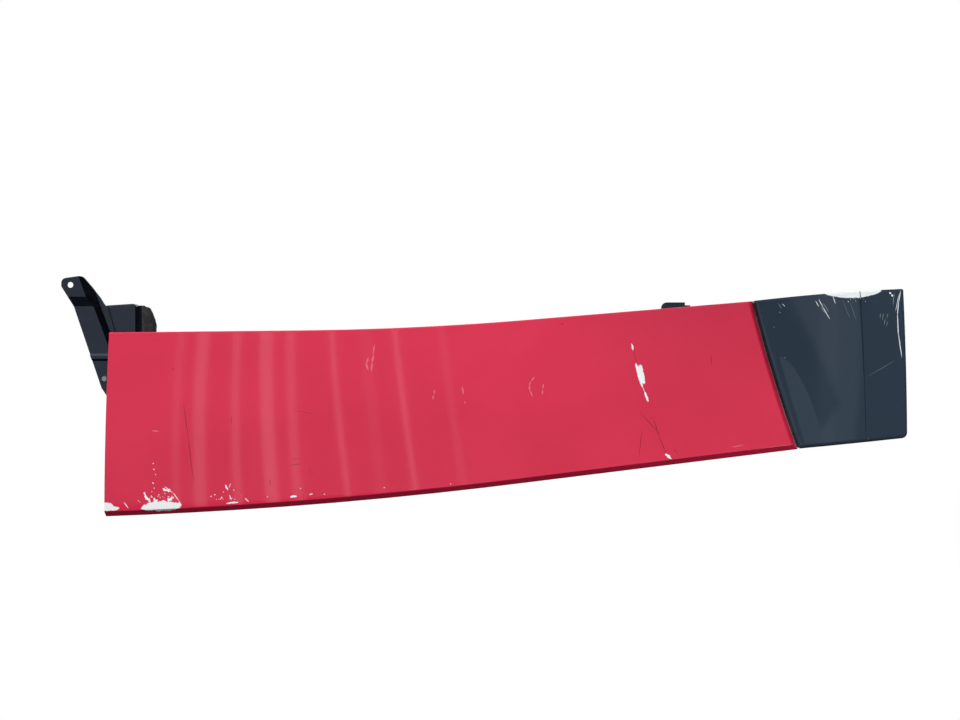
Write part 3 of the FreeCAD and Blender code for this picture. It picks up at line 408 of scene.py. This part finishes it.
# 1 on a face that passes all the tests of any one list, 0 elsewhere
def bareShare(tree, coords, insideTests):
    place = addNode(tree, "SeparateXYZ", {0: coords})
    facing = addNode(tree, "SeparateXYZ", {0: addNode(tree, "NewGeometry").outputs["Normal"]})
    leaned = addNode(tree, "Math", {
        0: place.outputs["Z"], 1: middleLine["slope"], 2: place.outputs["X"]
    }, operation="MULTIPLY_ADD")
    measures = {
        "facingX": facing.outputs["X"],
        "facingY": facing.outputs["Y"],
        "facingZ": facing.outputs["Z"],
        "across": addNode(tree, "Math", {0: leaned, 1: middleLine["setback"]}, operation="ADD"),
        "height": place.outputs["Z"],
    }
    share = None
    for tests in insideTests:
        passed = None
        for measure, way, limit in tests:
            test = addNode(tree, "Math", {0: measures[measure], 1: limit}, operation=way)
            if passed is not None:
                test = addNode(tree, "Math", {0: passed, 1: test}, operation="MULTIPLY")
            passed = test
        if share is not None:
            passed = addNode(tree, "Math", {0: share, 1: passed}, operation="MAXIMUM")
        share = passed
    return share


# Two-pack paint sprayed over white primer on a moulded skin: its gloss is clear but weak, the primer shows
# in ragged chips and thin scratches, and the moulding is bare where the spray gun did not reach.
# Some of the marks are painted light: shade along the grey crease, a reflection line on the grey, and part
# of the pale seam line is a painted highlight.
def makePaint(name, coat, insideTests):
    material, tree, shader = newMaterial(name, {
        "IOR": coat["ior"], "Specular IOR Level": coat["gloss"], "Specular Tint": toLinear(coat["glint"])
    })
    coords = addNode(tree, "TexCoord").outputs["Object"]
    bare = bareShare(tree, coords, insideTests)
    colour = addNode(tree, "Mix", {
        mixShare: bare, mixFirst: markedColour(tree, coat, coords), mixSecond: toLinear(coat["bare"])
    }, data_type="RGBA")
    tree.links.new(colour.outputs[mixResult], shader.inputs["Base Color"])
    rough = addNode(tree, "MapRange", {
        "Value": bare, "To Min": coat["roughness"], "To Max": paintPattern["bareRoughness"]
    })
    tree.links.new(rough.outputs[0], shader.inputs["Roughness"])
    return material


# What tells the inside of the panels: which way a face looks (1 is straight at that side), and where the
# flanges, the ribs and the top bosses lie, by height and by distance from the middle line, in metres.
inside = {
    "backFacing": 0.1, "returnFacing": 0.5, "flangeFacing": 0.3, "ribFacing": -0.3,
    "redFlangeTop": -1.45, "greyMiddle": -1.7,
    "ribReach": 0.15, "ribFoot": -1.45, "ribTop": -0.25,
    "bossNear": 0.05, "bossFar": 0.195, "bossFoot": -0.14, "bossTop": -0.09,
}
more, lesser = "GREATER_THAN", "LESS_THAN"
returnsInside = [
    [("facingY", more, inside["backFacing"])],
    [("facingX", lesser, -inside["returnFacing"]), ("across", more, 0)],
    [("facingX", more, inside["returnFacing"]), ("across", lesser, 0)],
]
redInside = [
    [("facingZ", more, inside["flangeFacing"]), ("height", lesser, inside["redFlangeTop"])],
    [
        ("facingY", more, inside["ribFacing"]),
        ("across", more, -inside["ribReach"]),
        ("across", lesser, inside["ribReach"]),
        ("height", more, inside["ribFoot"]),
        ("height", lesser, inside["ribTop"]),
    ],
    [
        ("facingY", more, inside["ribFacing"]),
        ("across", more, inside["bossNear"]),
        ("across", lesser, inside["bossFar"]),
        ("height", more, inside["bossFoot"]),
        ("height", lesser, inside["bossTop"]),
    ],
]
greyInside = [
    [("facingZ", more, inside["flangeFacing"]), ("height", lesser, inside["greyMiddle"])],
    [("facingZ", lesser, -inside["flangeFacing"]), ("height", more, inside["greyMiddle"])],
]
redPaint = makePaint("redPaintOnMouldedSkin", redCoat, returnsInside + redInside)
greyPaint = makePaint("greyPaintOnMouldedSkin", greyCoat, returnsInside + greyInside)

steelCoat = {
    "colour": "#0C1017", "wear": "#161C26", "wearMm": 25, "wearFrom": 0.55, "wearTo": 0.8,
    "gritMm": 1.4, "gritDepthMm": 0.4, "gritStrength": 0.12, "leastRough": 0.12, "mostRough": 0.3,
    "ior": 1.5, "gloss": 0.42, "glint": "#D2DFFF",
}


# Pressed steel with a baked black dip coat: low sheen, a little blue, paler where it has rubbed.
def makeDipCoat():
    material, tree, shader = newMaterial("blackDipCoatOnPressedSteel", {
        "IOR": steelCoat["ior"],
        "Specular IOR Level": steelCoat["gloss"],
        "Specular Tint": toLinear(steelCoat["glint"]),
    })
    coords = addNode(tree, "TexCoord").outputs["Object"]
    cloud = addNode(tree, "TexNoise", {
        "Vector": coords, "Scale": 1 / (steelCoat["wearMm"] * mm), "Detail": 4.0
    })
    worn = addNode(tree, "MapRange", {
        "Value": cloud, "From Min": steelCoat["wearFrom"], "From Max": steelCoat["wearTo"]
    })
    colour = addNode(tree, "Mix", {
        mixShare: worn, mixFirst: toLinear(steelCoat["colour"]), mixSecond: toLinear(steelCoat["wear"])
    }, data_type="RGBA")
    tree.links.new(colour.outputs[mixResult], shader.inputs["Base Color"])
    grit = addNode(tree, "TexNoise", {
        "Vector": coords, "Scale": 1 / (steelCoat["gritMm"] * mm), "Detail": 2.0
    })
    rough = addNode(tree, "MapRange", {
        "Value": grit, "To Min": steelCoat["leastRough"], "To Max": steelCoat["mostRough"]
    })
    tree.links.new(rough.outputs[0], shader.inputs["Roughness"])
    bump = addNode(tree, "Bump", {
        "Strength": steelCoat["gritStrength"], "Distance": steelCoat["gritDepthMm"] * mm, "Height": grit
    })
    tree.links.new(bump.outputs[0], shader.inputs["Normal"])
    return material


plating = {"colour": "#8E9496", "stain": "#63686B", "stainMm": 4, "leastRough": 0.28, "mostRough": 0.5}


# Zinc plate on turned steel: a grey metal with cloudy passivation.
def makeZinc():
    material, tree, shader = newMaterial("zincPlateOnTurnedSteel", {"Metallic": 1.0})
    coords = addNode(tree, "TexCoord").outputs["Object"]
    cloud = addNode(tree, "TexNoise", {
        "Vector": coords, "Scale": 1 / (plating["stainMm"] * mm), "Detail": 3.0
    })
    colour = addNode(tree, "Mix", {
        mixShare: cloud, mixFirst: toLinear(plating["colour"]), mixSecond: toLinear(plating["stain"])
    }, data_type="RGBA")
    tree.links.new(colour.outputs[mixResult], shader.inputs["Base Color"])
    rough = addNode(tree, "MapRange", {
        "Value": cloud, "To Min": plating["leastRough"], "To Max": plating["mostRough"]
    })
    tree.links.new(rough.outputs[0], shader.inputs["Roughness"])
    return material


insertBrass = {"colour": "#C19A4A", "dull": "#8E7036", "dullMm": 5.5, "roughness": 0.4}


# Turned brass, dulled by age.
def makeBrass():
    material, tree, shader = newMaterial("turnedBrass", {
        "Metallic": 1.0, "Roughness": insertBrass["roughness"]
    })
    coords = addNode(tree, "TexCoord").outputs["Object"]
    cloud = addNode(tree, "TexNoise", {
        "Vector": coords, "Scale": 1 / (insertBrass["dullMm"] * mm), "Detail": 3.0
    })
    colour = addNode(tree, "Mix", {
        mixShare: cloud, mixFirst: toLinear(insertBrass["colour"]), mixSecond: toLinear(insertBrass["dull"])
    }, data_type="RGBA")
    tree.links.new(colour.outputs[mixResult], shader.inputs["Base Color"])
    return material


padFoam = {
    "colour": "#2A2C2E", "dust": "#423F3A", "dustMm": 11, "dustFrom": 0.42, "dustTo": 0.68,
    "cellMm": 2.2, "cellDepthMm": 1.2, "cellStrength": 0.8, "roughness": 0.95, "gloss": 0.2,
}


# Closed-cell foam, cut: open cells at the surface, with dust in them. The cells are drawn coarser than real
# ones, so that they show.
def makeFoam():
    material, tree, shader = newMaterial("cutClosedCellFoam", {
        "Roughness": padFoam["roughness"], "Specular IOR Level": padFoam["gloss"]
    })
    coords = addNode(tree, "TexCoord").outputs["Object"]
    cells = addNode(tree, "TexVoronoi", {"Vector": coords, "Scale": 1 / (padFoam["cellMm"] * mm)})
    dust = addNode(tree, "TexNoise", {
        "Vector": coords, "Scale": 1 / (padFoam["dustMm"] * mm), "Detail": 4.0
    })
    dusty = addNode(tree, "MapRange", {
        "Value": dust, "From Min": padFoam["dustFrom"], "From Max": padFoam["dustTo"]
    })
    colour = addNode(tree, "Mix", {
        mixShare: dusty, mixFirst: toLinear(padFoam["colour"]), mixSecond: toLinear(padFoam["dust"])
    }, data_type="RGBA")
    tree.links.new(colour.outputs[mixResult], shader.inputs["Base Color"])
    bump = addNode(tree, "Bump", {
        "Strength": padFoam["cellStrength"], "Distance": padFoam["cellDepthMm"] * mm, "Height": cells
    })
    tree.links.new(bump.outputs[0], shader.inputs["Normal"])
    return material


finishes = {
    "red_paint": redPaint,
    "grey_paint": greyPaint,
    "black_steel": makeDipCoat(),
    "plated_steel": makeZinc(),
    "brass": makeBrass(),
    "foam": makeFoam(),
}
for part in frame["record"]["subparts"]:
    slots = nodes[part["node"]].data.materials
    slots.clear()
    slots.append(finishes[part["material_slot"]])

# The pad was cut by hand and has crumbled, so its faces are lumpy. Its back seats on the steel and keeps
# its shape, seatMm deep.
padShape = {
    "mergeMm": 0.002, "flatAngle": 0.01, "cutMm": 3.0, "smoothing": 0.5, "smoothTurns": 2, "seatMm": 0.5,
    "lumpMm": 9.0, "pushMm": 1.3, "lumpFade": 1.0, "lumpStep": 2.0, "lumpLayers": 3,
}


def makeBufferPad():
    pad = bmesh.new()
    pad.from_mesh(nodes["buffer_pad"].data)
    bmesh.ops.remove_doubles(pad, verts=pad.verts, dist=padShape["mergeMm"] * mm)
    bmesh.ops.dissolve_limit(pad, angle_limit=padShape["flatAngle"], verts=pad.verts, edges=pad.edges)
    lowest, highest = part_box("buffer_pad")
    for axis in range(3):
        normal = [1 if index == axis else 0 for index in range(3)]
        reach = highest[axis] - lowest[axis]
        count = round(reach / (padShape["cutMm"] * mm))
        for index in range(1, count):
            bmesh.ops.bisect_plane(
                pad,
                geom=pad.verts[:] + pad.edges[:] + pad.faces[:],
                plane_co=[lowest[axis] + reach * index / count] * 3,
                plane_no=normal,
            )
    bmesh.ops.triangulate(pad, faces=[face for face in pad.faces if len(face.verts) > 4])
    for turn in range(padShape["smoothTurns"]):
        bmesh.ops.smooth_vert(
            pad, verts=pad.verts, factor=padShape["smoothing"],
            use_axis_x=True, use_axis_y=True, use_axis_z=True,
        )
    pad.normal_update()
    back = highest[1] - padShape["seatMm"] * mm
    for vert in pad.verts:
        if vert.co.y < back:
            lump = noise.fractal(
                vert.co / (padShape["lumpMm"] * mm),
                padShape["lumpFade"], padShape["lumpStep"], padShape["lumpLayers"],
            )
            vert.co += vert.normal * lump * padShape["pushMm"] * mm
    for face in pad.faces:
        face.smooth = True
    data = toMesh("crumbledPad", pad)
    data.materials.append(finishes["foam"])
    piece = addObject("crumbledPad", data)
    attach(piece, "root")
    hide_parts("buffer_pad")
    print("buffer pad:", len(data.polygons), "faces")


makeBufferPad()

white = "#FFFFFF"


# 1 for the rays that show a thing as it looks: from the camera, in a gloss and through glass
def seenShare(tree):
    rays = addNode(tree, "LightPath")
    seen = addNode(tree, "Math", {
        0: rays.outputs["Is Camera Ray"], 1: rays.outputs["Is Glossy Ray"]
    }, operation="MAXIMUM")
    return addNode(tree, "Math", {0: seen, 1: rays.outputs["Is Transmission Ray"]}, operation="MAXIMUM")


# The floor is plain near its centre, where the shadow falls, and white beyond its spread.
floorShape = {
    "centre": (-0.25, 0, -2.3), "size": 3.2, "spread": 0.9, "plainFrom": 0.5,
    "colour": "#E9E9E7", "roughness": 0.8,
}


# Pale floor paint, rolled on: matt, and it runs out to the white of the background.
def makeFloorPaint():
    material, tree, shader = newMaterial("paleFloorPaint", {
        "Roughness": floorShape["roughness"], "Base Color": toLinear(floorShape["colour"])
    })
    centred = addNode(tree, "Mapping", {
        "Vector": addNode(tree, "TexCoord").outputs["Object"],
        "Location": floorShape["centre"],
        "Scale": [floorShape["spread"]] * 3,
    }, vector_type="TEXTURE")
    near = addNode(tree, "TexGradient", {"Vector": centred}, gradient_type="SPHERICAL")
    near = addNode(tree, "MapRange", {"Value": near.outputs["Fac"], "From Max": floorShape["plainFrom"]})
    away = addNode(tree, "Math", {0: 1.0, 1: near}, operation="SUBTRACT")
    shown = addNode(tree, "MixShader", {
        0: addNode(tree, "Math", {0: seenShare(tree), 1: away}, operation="MULTIPLY"),
        1: shader,
        2: addNode(tree, "Emission", {"Color": toLinear(white), "Strength": 1.0}),
    })
    tree.links.new(shown.outputs[0], tree.nodes["Material Output"].inputs["Surface"])
    return material


floorSheet = bmesh.new()
bmesh.ops.create_grid(floorSheet, x_segments=2, y_segments=2, size=floorShape["size"] / 2)
bmesh.ops.translate(floorSheet, verts=floorSheet.verts, vec=floorShape["centre"])
floorData = toMesh("studioFloor", floorSheet)
floorData.materials.append(makeFloorPaint())
floor = addObject("studioFloor", floorData)

# The room gives a little cool light, and its backdrop is white.
room = {"colour": "#F3F9FF", "strength": 0.1}
world = bpy.data.worlds.new("softRoom")
bpy.context.scene.world = world
world.use_nodes = True
tree = world.node_tree
tree.nodes.clear()
fill = addNode(tree, "Background", {"Color": toLinear(room["colour"]), "Strength": room["strength"]})
backdrop = addNode(tree, "Background", {"Color": toLinear(white), "Strength": 1.0})
both = addNode(tree, "MixShader", {0: seenShare(tree), 1: fill, 2: backdrop})
addNode(tree, "OutputWorld", {"Surface": both})

# Each lamp stands off the part in its own direction and looks back at it. A sun's spread is in degrees.
lampAim = {"at": (-0.25, 0, -0.9), "distance": 3.4}
lamps = {
    "key": {"kind": "SUN", "from": (0.56, -0.55, 0.62), "power": 4.05, "spread": 28, "inGloss": False},
    "back": {"kind": "AREA", "from": (0.25, 0.9, 0.35), "power": 110, "size": 1.6, "inGloss": False},
    "front": {"kind": "AREA", "from": (0.68, -0.45, 0.48), "power": 12, "size": 1.6, "inGloss": True},
}
for name, lamp in lamps.items():
    data = bpy.data.lights.new(name, lamp["kind"])
    data.energy = lamp["power"]
    if lamp["kind"] == "SUN":
        data.angle = math.radians(lamp["spread"])
    else:
        data.size = lamp["size"]
    item = addObject(name, data)
    item.location = Vector(lampAim["at"]) + Vector(lamp["from"]) * lampAim["distance"]
    item.rotation_euler = Vector(lamp["from"]).to_track_quat("Z", "Y").to_euler()
    item.visible_glossy = lamp["inGloss"]
    item.visible_camera = False

view = {"distance": 2.3, "skinDepth": -0.008, "sensor": 36.0}
middleX, middleZ = onSkin(picture["width"] / 2, picture["height"] / 2)

# Strip lights stand beside the camera and show as soft bands in the gloss. Each band has its column and
# width in the picture, how far it leans over leanRows, its brightness, and how far in front of the part
# its light stands.
stripLights = {
    "length": 1.4, "middleRow": 410, "leanRows": 160,
    "bands": [
        (176, 7, 2, 1.2, 2.6),
        (199, 12, 3, 2.2, 2.6),
        (235, 8, 5, 2.0, 2.6),
        (267, 13, 8, 2.4, 2.6),
        (292, 9, 9, 1.8, 2.6),
        (338, 5, 14, 2.6, 2.6),
        (372, 12, 14, 0.6, 2.6),
        (404, 5, 17, 2.8, 2.6),
        (452, 7, 18, 0.9, 2.6),
        (829, 20, 2, 0.4, 1.2),
    ],
}
for column, width, leaning, brightness, depth in stripLights["bands"]:
    reach = 1 + depth / view["distance"]
    data = bpy.data.lights.new("strip", "AREA")
    data.shape = "RECTANGLE"
    data.size = stripLights["length"] * reach
    data.size_y = width * pixel * reach
    data.energy = brightness * math.pi * data.size * data.size_y
    item = addObject("strip", data)
    x, z = onSkin(column, stripLights["middleRow"])
    item.location = (
        middleX + (x - middleX) * reach,
        view["skinDepth"] - depth,
        middleZ + (z - middleZ) * reach,
    )
    item.rotation_euler = (math.radians(90), -math.atan2(leaning, stripLights["leanRows"]), 0)
    item.visible_camera = False

# Dark cards give the rolled edges their depth: only the gloss sees them, and light passes them. The flag
# does the reverse: it takes some of the key light off the front of the panels near the seam.
cards = {
    "rearCard": {"flag": False, "at": (-1.2, -0.8, -0.6), "turn": 90, "axis": "Y", "size": (4.2, 4.2)},
    "lowCard": {"flag": False, "at": (0.9, 1.0, -2.25), "turn": 0, "axis": "Z", "size": (4.8, 4.8)},
    "seamCard": {"flag": False, "at": (0.096, -2.4, -2.25), "turn": -43, "axis": "Z", "size": (1.85, 0.5)},
    "seamFlag": {"flag": True, "at": (0.526, -0.558, -0.877), "turn": 90, "axis": "X", "size": (0.3, 0.4)},
}
cardFelt = {"colour": "#0A0A0A", "roughness": 1.0}

# Black wool felt, pressed on card: it gives back next to no light.
feltOnCard = newMaterial("blackCardFelt", {
    "Base Color": toLinear(cardFelt["colour"]), "Roughness": cardFelt["roughness"]
})[0]
for name, card in cards.items():
    sheet = bmesh.new()
    bmesh.ops.create_grid(sheet, x_segments=1, y_segments=1, size=0.5)  # half of one metre
    bmesh.ops.scale(sheet, verts=sheet.verts, vec=(*card["size"], 1))
    data = toMesh(name, sheet)
    turned = Matrix.Rotation(math.radians(card["turn"]), 4, card["axis"])
    data.transform(Matrix.Translation(card["at"]) @ turned)
    data.materials.append(feltOnCard)
    item = addObject(name, data)
    item.visible_camera = False
    item.visible_diffuse = False
    item.visible_glossy = not card["flag"]
    item.visible_shadow = card["flag"]
    item.visible_transmission = False

lens = bpy.data.cameras.new("photoCamera")
lens.sensor_width = view["sensor"]
lens.lens = view["sensor"] * view["distance"] / (picture["width"] * pixel)
lens.dof.use_dof = False
camera = addObject("photoCamera", lens)
# the part lies on its side in the picture: its top is at the left and its front edge is uppermost
camera.matrix_world = Matrix((
    (0, 1, 0, middleX),
    (0, 0, -1, view["skinDepth"] - view["distance"]),
    (-1, 0, 0, middleZ),
    (0, 0, 0, 1),
))
bpy.context.scene.camera = camera
bpy.context.scene.view_settings.view_transform = "Standard"
print("stage, lamps and camera set")
